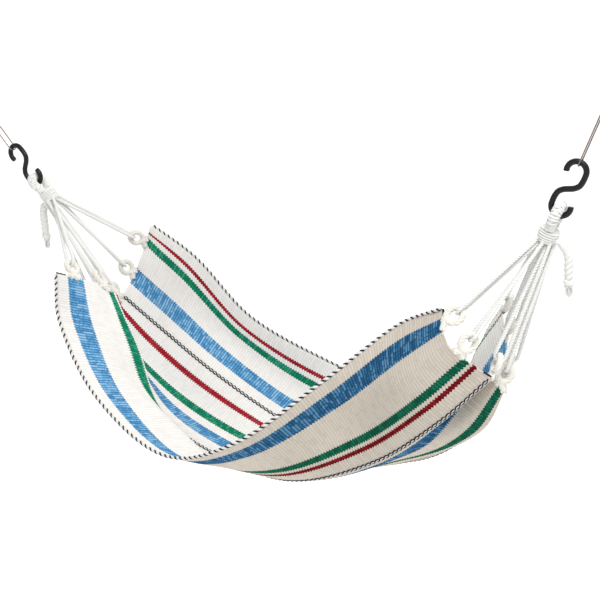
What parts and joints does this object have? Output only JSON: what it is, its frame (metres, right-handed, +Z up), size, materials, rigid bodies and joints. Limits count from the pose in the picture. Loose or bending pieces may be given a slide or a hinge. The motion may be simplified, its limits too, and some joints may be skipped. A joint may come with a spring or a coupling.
{
  "type": "hammock",
  "caption": "Small hand-woven striped cotton hammock, fanned cords gathered to a whipped rope eye at each end, hung by black S-hooks on doubled wires from ceiling eyes",
  "frame": {"origin": "middle of the left ceiling plate's top face, on the ceiling", "axes": "X from the left ceiling plate to the right one, -Y the near side, Z up"},
  "size_m": [0.839, 0.2926, 0.4825],
  "materials": {
    "cloth": "hand-woven cotton, cream with red, green and blue stripes",
    "edge_cord": "black and white twisted cotton",
    "white_cord": "laid white cotton cord",
    "yarn": "gathered natural warp yarn",
    "black_metal": "satin black",
    "wire": "dull annealed wire",
    "zinc": "zinc plated"
  },
  "bodies": {
    "ceiling_fixings": {"left_ceiling_plate": "zinc", "left_screw_near": "zinc", "left_screw_far": "zinc", "right_ceiling_plate": "zinc", "right_screw_near": "zinc", "right_screw_far": "zinc"},
    "hammock": {"sling": "cloth", "selvedge_far": "edge_cord", "selvedge_near": "edge_cord", "left_wire": "wire", "left_rope_eye": "white_cord", "left_neck_binding": "white_cord", "left_tail": "white_cord", "left_tail_knot": "white_cord", "left_end_loop_1": "yarn", "left_cord_1": "white_cord", "left_end_loop_2": "yarn", "left_cord_2": "white_cord", "left_end_loop_3": "yarn", "left_cord_3": "white_cord", "left_end_loop_4": "yarn", "left_cord_4": "white_cord", "left_end_loop_5": "yarn", "left_cord_5": "white_cord", "left_end_loop_6": "yarn", "left_cord_6": "white_cord", "left_end_loop_7": "yarn", "left_cord_7": "white_cord", "right_wire": "wire", "right_rope_eye": "white_cord", "right_neck_binding": "white_cord", "right_tail": "white_cord", "right_tail_knot": "white_cord", "right_end_loop_1": "yarn", "right_cord_1": "white_cord", "right_end_loop_2": "yarn", "right_cord_2": "white_cord", "right_end_loop_3": "yarn", "right_cord_3": "white_cord", "right_end_loop_4": "yarn", "right_cord_4": "white_cord", "right_end_loop_5": "yarn", "right_cord_5": "white_cord", "right_end_loop_6": "yarn", "right_cord_6": "white_cord", "right_end_loop_7": "yarn", "right_cord_7": "white_cord"},
    "left_hook": {"left_s_hook": "black_metal"},
    "right_hook": {"right_s_hook": "black_metal"}
  },
  "joints": [
    {"name": "hammock_swing", "type": "hinge", "parent": "ceiling_fixings", "child": "hammock", "pos_m": [0, 0, -0.018], "axis": [1, 0, 0], "range_deg": [-35, 35]},
    {"name": "left_hook_swivel", "type": "hinge", "parent": "hammock", "child": "left_hook", "pos_m": [0.07, 0, -0.105], "axis": [0.6515, 0, -0.7586], "range_deg": [-20, 20]},
    {"name": "right_hook_swivel", "type": "hinge", "parent": "hammock", "child": "right_hook", "pos_m": [0.784, 0, -0.105], "axis": [-0.3957, 0, -0.9184], "range_deg": [-20, 20]}
  ]
}
